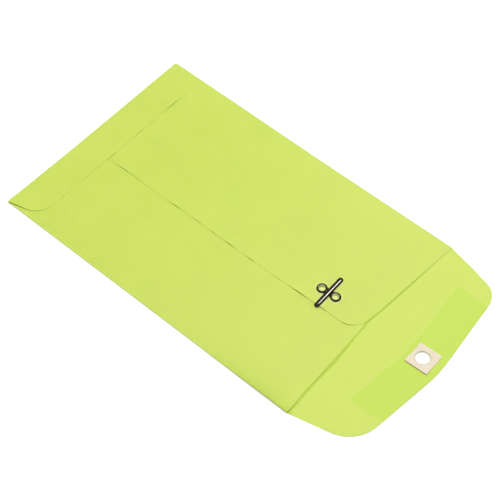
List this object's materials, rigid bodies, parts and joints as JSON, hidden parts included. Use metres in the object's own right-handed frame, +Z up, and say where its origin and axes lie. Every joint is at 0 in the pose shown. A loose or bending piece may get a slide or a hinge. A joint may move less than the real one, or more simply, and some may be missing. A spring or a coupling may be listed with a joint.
{
  "type": "clasp envelope",
  "caption": "Lime paper envelope with a centre seam, folded bottom flap, open gummed seal flap with a reinforced hole, and a metal clasp with prongs that bend up through it.",
  "frame": {"origin": "centre of the pocket, on the underside of the front panel", "axes": "+Y along the pocket towards the seal flap, +X across the pocket towards the tucked-under side panel, +Z up from the front panel to the clasp"},
  "size_m": [0.1524, 0.2771, 0.0031],
  "materials": {
    "lime_paper": "matte",
    "glue": "satin",
    "gum": "satin",
    "patch_card": "matte",
    "dark_metal": "gloss"
  },
  "bodies": {
    "pocket": {"front_panel": "lime_paper", "left_side_panel": "lime_paper", "right_side_panel": "lime_paper", "left_side_crease": "lime_paper", "right_side_crease": "lime_paper", "bottom_crease": "lime_paper", "bottom_flap": "lime_paper", "seam_glue": "glue", "bottom_flap_glue": "glue", "clasp_base": "dark_metal"},
    "flap": {"seal_flap": "lime_paper", "gum_strip": "gum", "hole_patch": "patch_card"},
    "prong_left": {"left_prong": "dark_metal"},
    "prong_right": {"right_prong": "dark_metal"}
  },
  "joints": [
    {"name": "flap_fold", "type": "hinge", "parent": "pocket", "child": "flap", "pos_m": [0, 0.1143, 0.00095], "axis": [1, 0, 0], "range_deg": [0, 175]},
    {"name": "left_prong_bend", "type": "hinge", "parent": "pocket", "child": "prong_left", "pos_m": [-0.00185, 0.07998, 0.00314], "axis": [-0.0401, 0.9992, 0], "range_deg": [0, 90]},
    {"name": "right_prong_bend", "type": "hinge", "parent": "pocket", "child": "prong_right", "pos_m": [-0.00105, 0.08002, 0.00314], "axis": [0.0401, -0.9992, 0], "range_deg": [0, 90]}
  ]
}
